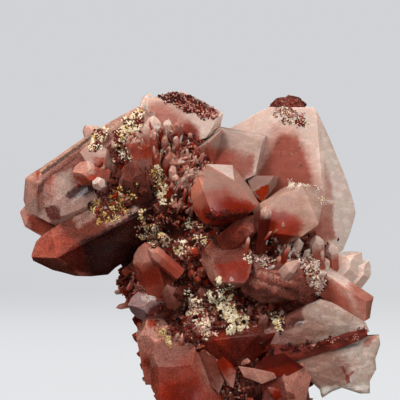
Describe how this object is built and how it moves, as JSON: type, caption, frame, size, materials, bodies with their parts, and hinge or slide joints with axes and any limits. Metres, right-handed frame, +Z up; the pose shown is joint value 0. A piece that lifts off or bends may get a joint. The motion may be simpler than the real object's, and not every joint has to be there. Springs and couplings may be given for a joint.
{
  "type": "mineral specimen",
  "caption": "Natural cluster of red-stained quartz points and broken quartz slabs on a lump of matrix, to stand on a flat surface.",
  "frame": {"origin": "middle of the flat break that the cluster rests on", "axes": "+Z up, away from the surface it rests on; +X to the specimen's right; -Y towards its show side"},
  "size_m": [0.0897, 0.0542, 0.0863],
  "materials": {
    "hematoid_quartz": "gloss"
  },
  "bodies": {
    "root": {"quartz_cluster": "hematoid_quartz"}
  },
  "joints": []
}
